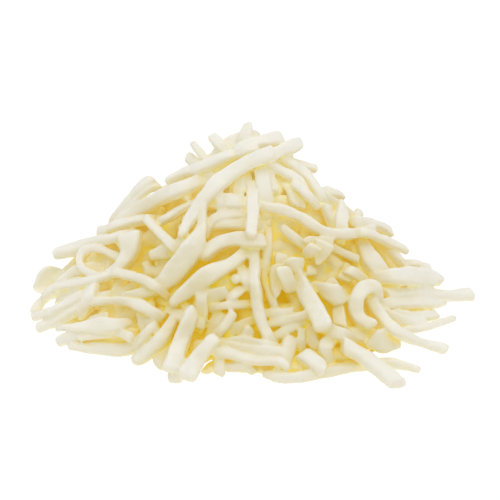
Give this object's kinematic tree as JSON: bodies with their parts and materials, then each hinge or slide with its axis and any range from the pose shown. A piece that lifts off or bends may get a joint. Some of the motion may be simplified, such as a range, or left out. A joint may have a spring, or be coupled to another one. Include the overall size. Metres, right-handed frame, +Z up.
{
  "type": "heap of shredded mozzarella",
  "caption": "Loose heap of shredded mozzarella, a low mound of uneven, gently bent strips with rounded and cut ends that stick out at the peak and round the foot.",
  "frame": {"origin": "on the surface that the heap lies on, under the middle of its outline seen from above", "axes": "+Z up, the side that the picture shows faces -Y, +X to its right"},
  "size_m": [0.1124, 0.0952, 0.0486],
  "materials": {
    "cheese": "moist, waxy ivory cheese with a soft sheen, turning golden yellow deep between the shreds"
  },
  "bodies": {
    "root": {"cheese_heap": "cheese"}
  },
  "joints": []
}
